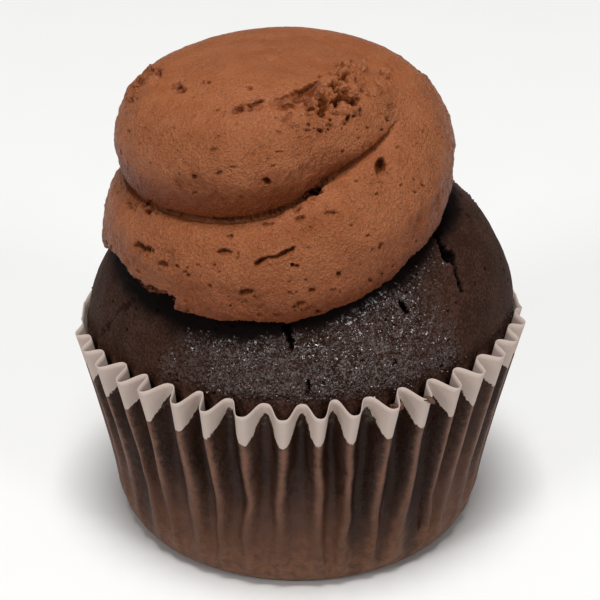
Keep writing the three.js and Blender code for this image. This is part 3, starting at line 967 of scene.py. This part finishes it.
# The rope's path and its thickness: (turns, mm).
ROPE_RADIUS = [
    (0, 14.5), (0.5, 14.5), (0.75, 15.5), (1, 14.4), (1.4, 12.8), (1.68, 12.1), (1.8, 9.7), (2.06, 12),
]
ROPE_HEIGHT = [
    (0, 55.5), (0.5, 54), (0.75, 53.4), (1, 65.9), (1.15, 68), (1.4, 67.5), (1.6, 66.3), (1.8, 69.6),
    (2.06, 71),
]
ROPE_HALF_WIDTH = [(0, 12.6), (1.3, 12.6), (1.68, 12), (1.8, 10), (2.06, 9.4)]
ROPE_HALF_HEIGHT = [(0, 7), (0.4, 10.1), (1, 10.4), (1.4, 10.7), (1.6, 10.3), (1.8, 8.8), (2.06, 7.6)]

ROPE_STEPS = 640
ROPE_FACETS = 96
CORE_RINGS = 60
FROSTING_SKIN = 0.22 * MM
FROSTING_FACES = 190000
BED = 0.03 * MM  # the frosting ends this far above the crust
BED_FOOT = 5 * MM
FOOT_SWELL = 1.1 * MM  # above the crust the frosting's foot bulges out by this much
SWELL_STARTS = (0.3, 1.8)  # mm above the crust
SWELL_ENDS = (2.2, 6.5)
FOOT_CURL = 2.6 * MM  # and right at it, it curls in
CURL_ENDS = (0.2, 1.5)
CREASE_SINK = 5  # times as deep as the crease already is
CREASE_ROUNDS = 40  # of smoothing, that show where it is
CREASE_LEAST = 0.03 * MM
CREASE_MOST = 0.4 * MM
EVEN_TOP = (70 * MM, 75 * MM)  # up there the turns blend into an even top
EVEN_ROUNDS = 400
BACK_TEAR_DEPTH = 0.9  # of its width
PORE_DEPTH = 1.4  # of half its width
OVERHANG = 0.5  # a tear leans in under its upper lip by this share of its depth
RANDOM_PORES = 650
RANDOM_PORE = (0.12, 0.24)  # mm, half its width
WIDE_PORES = 0.12  # share of them that are twice as wide
FULL_LIGHT_HEIGHT = 9  # mm above the crust from which the frosting is no longer painted darker as shade near the crust
# The skin's lumps: size in mm, height in mm, how much flatter they are on top, and noise seed.
SKIN_LUMPS = [
    (9, 0.2, 0, 21), (3.5, 0.15, 0.5, 22), (1.3, 0.13, 0.8, 23), (0.7, 0.12, 0.8, 24),
    (0.45, 0.07, 0.8, 25),
]
# The crumbs of the crumbly zones: share of the zone's depth, size in mm and noise seed.
CRUMB_LUMPS = [(1.2, 1.7, 33), (0.9, 0.85, 34), (0.5, 0.45, 35)]
FRAME_SCALE = 6.6  # points of the frame to a millimetre, in front

# Tears at the back, from end to end: (turns, degrees round the rope, width in mm).
BACK_TEARS = [
    [(1.05, -42, 0.4), (1.07, -36, 1.2), (1.09, -32, 0.4)],
    [(0.29, -16, 0.4), (0.315, -22, 1.3), (0.345, -27, 0.4)],
    [(1.2, -4, 0.4), (1.22, 2, 1), (1.245, 7, 0.4)],
]

# Ledges, where the skin broke and sank below a ragged lip, from left to right: (across, down) of
# the lip in the frame, how deep it sank in mm and how far down in points of the frame.
LEDGES = [
    [(228, 111, 0.1, 5), (240, 105, 0.4, 9), (250, 102.5, 0.6, 11), (260, 100, 0.7, 13),
     (265, 101, 0.1, 8)],
    [(268, 102, 0.1, 8), (280, 98.5, 0.5, 14), (290, 94, 0.7, 20), (300, 89, 0.9, 26), (311, 82, 1, 30),
     (320, 80, 0.5, 24)],
    [(254, 263, 0.6, 8), (258, 260, 1.1, 10), (264, 257, 0.8, 8), (273, 253.5, 0.7, 9),
     (282, 250.5, 0.8, 9), (290, 246.5, 0.9, 9), (295, 246.5, 0.4, 5)],
    [(136, 276, 0.3, 14), (140, 279, 1.6, 12), (148, 286, 1, 12), (160, 290, 0.8, 12), (173, 298, 0.9, 12),
     (175, 300, 0.1, 6)],
    [(376, 162, 0.2, 10), (379, 157, 1.1, 20), (383, 158, 1.1, 20), (386, 166, 0.2, 9)],
    [(303, 196, 0.3, 5), (308, 190, 1.4, 8), (317, 188, 1.4, 8), (321, 187, 0.2, 5)],
    [(136, 76, 0.3, 8), (143, 71, 0.7, 12), (152, 68, 0.8, 12), (161, 68, 0.2, 8)],
]

# Crumbly zones: (across, down) of the middle in the frame, half length and half width in points of
# the frame, tilt in degrees and depth in mm.
CRUMBLY = [
    (339, 97, 30, 23, 30, 2.1),
    (350, 69, 21, 10, 10, 1.3),
    (298, 99, 22, 9, 25, 1),
    (246, 108, 19, 6, 15, 0.8),
    (303, 115, 24, 11, 20, 0.7),
    (386, 80, 9, 20, -15, 0.5),
    (388, 112, 10, 8, 45, 0.5),
    (147, 76, 17, 9, 15, 1.3),
    (132, 92, 6, 13, -25, 0.9),
    (181, 88, 11, 6, 0, 0.7),
    (146, 209, 18, 7, -20, 1.1),
    (128, 204, 7, 6, 0, 0.6),
    (297, 207, 20, 6, 28, 0.8),
    (312, 193, 11, 5, 20, 0.9),
    (266, 99, 45, 7, 15, 0.3),
    (276, 258, 26, 7, 22, 0.35),
    (184, 306, 13, 8, -20, 0.6),
    (156, 294, 20, 6, -25, 0.7),
    (380, 168, 7, 14, 0, 0.6),
    (208, 180, 60, 30, -10, 0.16),
    (300, 160, 55, 26, 35, 0.2),
    (320, 220, 30, 14, 10, 0.25),
    (160, 262, 34, 18, -35, 0.3),
    (250, 300, 80, 16, 0, 0.2),
    (430, 205, 12, 30, -20, 0.22),
]

# Pores in front, deepest below their upper lip: (across, down) of the middle in the frame, length
# and width in mm and tilt in degrees.
FRONT_PORES = [
    (264, 39, 1.7, 0.5, 12), (150, 74, 2.2, 1.1, 10), (179, 88, 1.3, 0.9, 0), (181, 91, 1.5, 0.5, -10),
    (193, 115, 0.8, 0.35, 10), (173, 128, 1.1, 0.35, 0), (128, 131, 0.4, 0.4, 0), (218, 138, 0.8, 0.35, 0),
    (213, 150, 1.3, 0.6, 10), (233, 167, 1.2, 0.5, 0), (219, 173, 1.2, 0.6, 25), (194, 177, 0.9, 0.8, 0),
    (194, 194, 0.9, 0.5, 10), (240, 197, 0.8, 0.5, -30), (276, 119, 0.6, 0.45, 0), (278, 133, 1.2, 0.5, -30),
    (279, 152, 1.3, 0.4, 10), (269, 159, 0.7, 0.4, 20), (273, 166, 0.7, 0.4, 0), (309, 131, 1.1, 0.5, 20),
    (314, 129, 0.5, 0.5, 0), (423, 132, 0.5, 0.45, 0), (424, 187, 0.6, 0.45, 0), (398, 147, 0.7, 0.45, 40),
    (377, 194, 0.8, 0.6, 60), (402, 185, 0.7, 0.45, 60), (299, 218, 1.7, 0.7, 15), (329, 213, 1.6, 0.8, 0),
    (269, 224, 2, 0.7, 10), (310, 228, 0.6, 0.4, 40), (224, 252, 2, 0.9, 10), (339, 274, 1, 0.95, 0),
    (312, 291, 1.2, 0.65, 15), (299, 305, 2.6, 0.75, 25), (247, 293, 2.7, 0.9, 12), (254, 297, 0.8, 0.5, -20),
    (177, 267, 0.8, 0.55, -30), (187, 268, 0.5, 0.4, 0), (185, 272, 0.6, 0.4, 40), (163, 264, 2.1, 0.8, -20),
    (143, 248, 2.3, 1, -30), (129, 204, 0.9, 0.8, 0), (381, 246, 1.1, 0.55, 70), (290, 293, 0.6, 0.45, 0),
    (296, 293, 0.5, 0.45, 0), (214, 266, 0.5, 0.4, 0), (198, 265, 0.45, 0.35, 0), (245, 302, 0.6, 0.35, 0),
    (307, 309, 0.9, 0.45, 20), (333, 290, 0.9, 0.4, 10), (277, 315, 1.1, 0.45, 5), (259, 316, 0.9, 0.4, -10),
    (257, 230, 1.3, 0.35, 15), (140, 271, 1.1, 0.4, -30), (150, 202, 0.8, 0.7, 0), (138, 206, 0.9, 0.9, 0),
    (148, 212, 1, 0.7, -20), (157, 214, 0.9, 0.6, 0), (334, 103, 2.7, 1.2, 30), (357, 99, 1.6, 0.9, 10),
    (353, 107, 1.1, 0.6, 10), (346, 106, 0.7, 0.6, 40), (321, 103, 0.9, 0.9, 0), (323, 97, 0.6, 0.9, 0),
    (334, 81, 0.9, 0.8, 0), (341, 88, 1.1, 0.8, 0), (356, 82, 0.7, 1.1, 0), (346, 85, 0.9, 0.9, 0),
    (348, 119, 0.7, 1.2, 0), (345, 124, 0.7, 0.5, 0), (309, 116, 0.9, 0.6, 20), (323, 116, 1, 0.8, 20),
    (343, 65, 0.9, 0.7, 0), (351, 69, 1.2, 0.8, 20), (368, 70, 1.2, 0.5, 60), (367, 128, 0.5, 0.5, 0),
    (382, 130, 0.6, 0.6, 0), (388, 121, 0.6, 0.7, 0), (287, 107, 0.8, 0.5, 20), (247, 110, 1, 0.45, 0),
    (270, 117, 0.6, 0.35, 0), (301, 118, 0.7, 0.4, 30), (328, 125, 0.7, 0.5, 20), (300, 137, 0.6, 0.4, 20),
]

# The foot's lower edge in front, where it is torn on the left: (across, down) in the frame.
FOOT_EDGE = [
    (94, 238), (108, 249), (118, 257), (137, 281), (148, 294), (160, 297), (171.5, 299), (174.5, 311),
    (192, 314), (210, 318), (230, 322), (280, 323), (300, 322), (330, 317), (350, 308), (370, 297),
    (390, 281), (400, 269), (415, 255), (430, 240), (442, 222), (452, 198),
]
FOOT_CUT = 8 * MM  # below it the frosting is cut back


def rope_centre(turns):
    angle = 2 * math.pi * turns
    r = along(ROPE_RADIUS, turns) * MM
    height = along(ROPE_HEIGHT, turns) * MM
    return np.stack([r * np.cos(angle), r * np.sin(angle), height], axis=-1)


def rope_point(turns, around):
    """A point of the rope's surface; around runs from its outer side downwards, in radians."""
    ahead = rope_centre(turns + 0.01) - rope_centre(turns - 0.01)
    ahead /= np.linalg.norm(ahead, axis=-1, keepdims=True)
    outward = np.stack([ahead[..., 1], -ahead[..., 0], 0 * turns], axis=-1)
    outward /= np.linalg.norm(outward, axis=-1, keepdims=True)
    down = np.cross(ahead, outward)
    half_width = along(ROPE_HALF_WIDTH, turns) * MM
    half_height = along(ROPE_HALF_HEIGHT, turns) * MM
    cap_turns = half_width / (2 * math.pi * along(ROPE_RADIUS, turns) * MM)
    from_end = np.clip(np.minimum(turns - SWIRL_START, SWIRL_END - turns) / cap_turns, 0, 1)
    cap = np.sqrt(1 - (1 - from_end) ** 2)
    across = (half_width * cap * np.cos(around))[..., None]
    drop = (half_height * cap * np.sin(around))[..., None]
    shift = (SWIRL_X, SWIRL_Y, 0)
    return rope_centre(turns) + outward * across + down * drop + shift


def on_rope(turns, degrees):
    return rope_point(np.array(turns), math.radians(degrees))


def swirl_body():
    """The rope, and a core that fills its middle."""
    # The steps are shortest at the rope's two round ends.
    step = np.linspace(0.02, math.pi - 0.02, ROPE_STEPS)
    turns = SWIRL_START + (SWIRL_END - SWIRL_START) * (1 - np.cos(step)) / 2
    full_turn = np.linspace(0, 2 * math.pi, ROPE_FACETS, endpoint=False)
    turns, around = np.meshgrid(turns, full_turn, indexing="ij")
    rope = closed_body("frosting_swirl", rope_point(turns, around))
    tilt = np.linspace(-math.pi / 2 + 0.01, math.pi / 2 - 0.01, CORE_RINGS)
    tilt, angle = np.meshgrid(tilt, full_turn, indexing="ij")
    r = CORE_RADIUS * np.cos(tilt) ** CORE_SQUARENESS
    x, y = SWIRL_X + r * np.cos(angle), SWIRL_Y + r * np.sin(angle)
    z = CORE_MIDDLE + CORE_HALF_HEIGHT * np.sign(tilt) * np.abs(np.sin(tilt)) ** CORE_SQUARENESS
    return joined(rope, closed_body("core", np.stack([x, y, z], axis=2)))


def above_crust(points):
    """How far points are above the dome, about."""
    x, y, z = points.T
    lean = DOME_LEAN * (z - DOME_BASE)
    level = np.hypot(x - lean, y) / cake_radius(np.arctan2(y, x - lean))
    rise = np.clip((z - DOME_BASE) / DOME_HEIGHT, 0, None)
    size = (level ** DOME_FULLNESS + rise ** DOME_FULLNESS) ** (1 / DOME_FULLNESS)
    return (size - 1) * 0.5 * (CAKE_HALF_DEPTH + DOME_HEIGHT)


def folded(piece):
    """Evens the top, sinks the creases where the turns fold onto each other, and curls the foot in."""
    points = points_of(piece.data)
    even = smooth_step(points[:, 2], *EVEN_TOP)[:, None]
    points += even * (smoothed(piece.data, points, EVEN_ROUNDS, points[:, 2] > EVEN_TOP[0]) - points)
    move_points(piece, points)
    normals = points_of(piece.data, "normal")
    rounded = smoothed(piece.data, points, CREASE_ROUNDS)
    crease = np.clip(np.sum((rounded - points) * normals, axis=1) - CREASE_LEAST, 0, CREASE_MOST)
    height = above_crust(points) / MM
    swell = smooth_step(height, *SWELL_STARTS) * (1 - smooth_step(height, *SWELL_ENDS))
    curl = 1 - smooth_step(height, *CURL_ENDS)
    outwards = FOOT_SWELL * swell - FOOT_CURL * curl - CREASE_SINK * crease
    move_points(piece, points + normals * outwards[:, None])


def in_frame(points):
    """Where points come in the frame: how far across, and how far down."""
    turned = (points - np.array(camera.location)) @ np.array(camera.matrix_world.to_3x3())
    scale = FRAME_FOCUS / -turned[:, 2]
    return FRAME_MIDDLE[0] + scale * turned[:, 0], FRAME_MIDDLE[1] - scale * turned[:, 1]


def inside_oval(across, down, oval, ragged):
    """1 at an oval's middle and 0 on its edge, and how far over it is, -1 at its upper edge."""
    middle_across, middle_down, half_length, half_width, tilt = oval
    turn = math.radians(tilt)
    a, d = across - middle_across, down - middle_down
    along_it = (a * math.cos(turn) - d * math.sin(turn)) / half_length
    over_it = (a * math.sin(turn) + d * math.cos(turn)) / half_width
    return 1 - (along_it ** 2 + over_it ** 2) * ragged, over_it


def front_hollows(points):
    """How deep the pores and tears in front are, how much the crumbly zones go in or out, and what
    lies below the foot's edge."""
    across, down = in_frame(points)
    ragged = 1 + 0.6 * lumps(points, 0.6 * MM, 31) + 0.5 * lumps(points, 1.4 * MM, 32)
    ragged = np.maximum(ragged, 0.25)
    holes = np.zeros(len(points))
    for middle_across, middle_down, length, width, tilt in FRONT_PORES:
        half_length, half_width = 0.5 * FRAME_SCALE * length, 0.5 * FRAME_SCALE * width
        oval = (middle_across, middle_down, half_length, half_width, tilt)
        inside, over_it = inside_oval(across, down, oval, ragged)
        share = smooth_step(inside, 0, 0.5) * (0.7 - 0.3 * np.clip(over_it, -1, 1))
        holes = np.maximum(holes, PORE_DEPTH * 0.5 * width * share)
    for ledge in LEDGES:
        lip = np.array(ledge, float).T
        below = down - np.interp(across, lip[0], lip[1]) - 3 * (ragged - 1)
        deep = np.interp(across, lip[0], lip[2], left=0, right=0)
        reach = np.interp(across, lip[0], lip[3])
        share = smooth_step(below, 0, 1.5) * (1 - smooth_step(below / reach, 0.2, 1))
        holes = np.maximum(holes, deep * share)
    crumbs = sum(share * lumps(points, size * MM, seed) for share, size, seed in CRUMB_LUMPS)
    crumbs = np.clip(crumbs, -0.35, 1)
    crumbly = np.zeros(len(points))
    for *oval, deep in CRUMBLY:
        inside, _ = inside_oval(across, down, oval, ragged)
        crumbly = np.maximum(crumbly, deep * smooth_step(inside, 0, 0.7))
    edge_across, edge_down = np.array(FOOT_EDGE).T
    below = down - np.interp(across, edge_across, edge_down) - 2 * (ragged - 1)
    in_reach = (across > edge_across[0]) & (across < edge_across[-1])
    return holes, crumbly * crumbs, in_reach * smooth_step(below, -1, 3)


def without_scraps(piece):
    """Drops what a cut left loose or folded flat, and keeps the largest part."""
    body = bmesh.new()
    body.from_mesh(piece.data)
    flaps = True
    while flaps:
        crowded = {face for edge in body.edges if len(edge.link_faces) > 2 for face in edge.link_faces}
        flaps = [face for face in crowded if any(edge.is_boundary for edge in face.edges)]
        bmesh.ops.delete(body, geom=flaps, context="FACES")
    parts, waiting = [], set(body.verts)
    while waiting:
        part, ahead = [], [waiting.pop()]
        while ahead:
            point = ahead.pop()
            part.append(point)
            near = {edge.other_vert(point) for edge in point.link_edges} & waiting
            waiting -= near
            ahead += near
        parts.append(part)
    parts.sort(key=len)
    bmesh.ops.delete(body, geom=[point for part in parts[:-1] for point in part], context="VERTS")
    body.to_mesh(piece.data)
    body.free()
    return piece


def frosting_piece():
    piece = swirl_body()
    even_skin(piece, FROSTING_SKIN)
    folded(piece)
    points, normals = points_of(piece.data), points_of(piece.data, "normal")
    to_camera = np.array(camera.location) - points
    facing = np.sum(to_camera * normals, axis=1) / np.linalg.norm(to_camera, axis=1)
    facing = smooth_step(facing, -0.05, 0.1)
    holes, crumbs, foot = front_hollows(points)
    holes, crumbs = holes * facing, crumbs * facing
    rng = np.random.default_rng(23)
    strokes = []
    for tear in BACK_TEARS:
        strokes += strokes_along(tear, on_rope, BACK_TEAR_DEPTH, rng)
    for i in rng.choice(len(points), RANDOM_PORES, replace=False):
        half_width = rng.uniform(*RANDOM_PORE) * (2 if rng.random() < WIDE_PORES else 1) * MM
        for _ in range(rng.integers(1, 4)):
            stray = rng.normal(0, 0.7, 3) * half_width
            strokes.append((Vector(points[i] + stray), half_width, PORE_DEPTH * half_width))
    holes = np.maximum(holes * MM, Carving(points).depth(strokes))
    # On top it is smoothest.
    top = smooth_step(normals[:, 2], 0.7, 0.95)
    relief = np.zeros(len(points))
    for size, height, flatter, seed in SKIN_LUMPS:
        relief += height * lumps(points, size * MM, seed) * (1 - flatter * top)
    inwards = -points * (1, 1, 0) / np.hypot(points[:, 0], points[:, 1])[:, None]
    outwards = (relief - crumbs) * MM - holes
    points = points + normals * outwards[:, None] + np.outer(holes, (0, OVERHANG, 0))
    points += FOOT_CUT * foot[:, None] * inwards
    points[:, 2] = np.minimum(points[:, 2], SWIRL_TOP)
    move_points(piece, points)
    # Painted shade: the pores, tears and crumbly zones and the cut-back foot are coloured darker.
    give(piece, "painted_shade", np.clip((holes / MM + 0.9 * crumbs) / 0.7 + foot, 0, 1))
    give(piece, "pebbled", (1 - 0.6 * top) * (1 + 0.25 * lumps(points, 6 * MM, 26)))
    # Painted light and shade: paler where the skin faces up, darker where it faces down and low near the
    # crust.
    painted_top_light = smooth_step(normals[:, 2] + 0.15 * lumps(points, 4 * MM, 27), -0.35, 0.45)
    give(piece, "painted_top_light", painted_top_light * (0.3 + 0.7 * smooth_step(above_crust(points) / MM, 0, FULL_LIGHT_HEIGHT)))
    bed = dome_body("bed", BED, BED_FOOT)
    cut = piece.modifiers.new("bed", "BOOLEAN")
    cut.operation = "DIFFERENCE"
    cut.object = bed
    cut.solver = "MANIFOLD"
    settle(piece)
    bpy.data.objects.remove(bed)
    return without_scraps(fewer_faces(piece, FROSTING_FACES))


BUTTERCREAM = (0.28, 0.082, 0.025, 1)
BUTTERCREAM_PALE = (0.34, 0.112, 0.04, 1)
BUTTERCREAM_UNDERSIDE_SHADE = (0.165, 0.032, 0.002, 1)  # painted shade, on the undersides of the turns and low near the crust
# painted shade in the pores, tears and crumbly zones and below the foot
BUTTERCREAM_PAINTED_SHADE = (0.14, 0.03, 0.003, 1)


def whipped_frosting():
    finish = Finish("whipped frosting")
    painted_shade, pebbled, painted_top_light = finish.kept("painted_shade"), finish.kept("pebbled"), finish.kept("painted_top_light")
    patches = finish.noise(mottling, 4)
    grain = finish.noise(fine_grain, 0.36)
    fine = finish.noise(fine_grain, 0.19)
    gap = finish.noise(pebbles, 0.6)
    cream = finish.mix((patches * 0.5 + grain * 0.5).between(0.38, 0.62), BUTTERCREAM, BUTTERCREAM_PALE)
    # The undersides and the parts near the crust are painted darker, as shade.
    cream = finish.mix(painted_top_light, BUTTERCREAM_UNDERSIDE_SHADE, cream)
    # Painted shade in the hollows and below the foot.
    finish.feed(finish.mix(painted_shade, cream, BUTTERCREAM_PAINTED_SHADE), "Base Color")
    finish.feed(0.42 + (patches - 0.5) * 0.2 - (fine - 0.5) * 0.5, "Roughness")
    finish.bump((grain + fine * 0.5 - gap * gap * 0.25) * pebbled, 0.55)
    finish.constant("Specular IOR Level", 0.28)
    finish.constant("Subsurface Weight", 0.1)
    finish.constant("Subsurface Radius", (1, 0.4, 0.2))
    finish.constant("Subsurface Scale", 0.3 * MM)
    return finish.material


frosting = frosting_piece()
frosting.data.materials.clear()
frosting.data.materials.append(whipped_frosting())
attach(frosting, "root")
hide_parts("frosting")

# ---------------------------------------------------------------- floor and light
# A plain pale table top in a room with pale walls. A large soft lamp hangs high in front, and two
# small ones stand lower down, left and right.

FLOOR_HALF = 3
TABLE_TOP = (0.89, 0.89, 0.88, 1)
TABLE_TOP_PALE = (0.92, 0.92, 0.91, 1)
# Degrees above the level and to the right, distance and side in metres, power in watts.
LAMPS = [(79, 0, 2.5, 1.0, 56), (33, -42, 2.2, 0.5, 9), (33, 40, 2.2, 0.5, 6.5)]
ROOM_LIGHT = 0.12

corners = [(x * FLOOR_HALF, y * FLOOR_HALF, 0) for x, y in ((-1, -1), (1, -1), (1, 1), (-1, 1))]
floor = new_mesh_piece("floor", corners, [(0, 1, 2, 3)])
table = Finish("pale table top")
table.feed(table.mix(table.noise(mottling, 40), TABLE_TOP, TABLE_TOP_PALE), "Base Color")
table.constant("Roughness", 0.7)
floor.data.materials.append(table.material)

for above, right, distance, side, power in LAMPS:
    lamp = new_object("lamp", bpy.data.lights.new("lamp", "AREA"))
    lamp.data.size = side
    lamp.data.energy = power
    rise, turn = math.radians(above), math.radians(right)
    way = Vector((math.cos(rise) * math.sin(turn), -math.cos(rise) * math.cos(turn), math.sin(rise)))
    lamp.location = rim_middle + distance * way
    lamp.rotation_euler = (math.pi / 2 - rise, 0, turn)

room = bpy.data.worlds.new("room")
room.use_nodes = True
room.node_tree.nodes["Background"].inputs["Color"].default_value = (1, 1, 1, 1)
room.node_tree.nodes["Background"].inputs["Strength"].default_value = ROOM_LIGHT
bpy.context.scene.world = room
bpy.context.scene.view_settings.view_transform = "Standard"
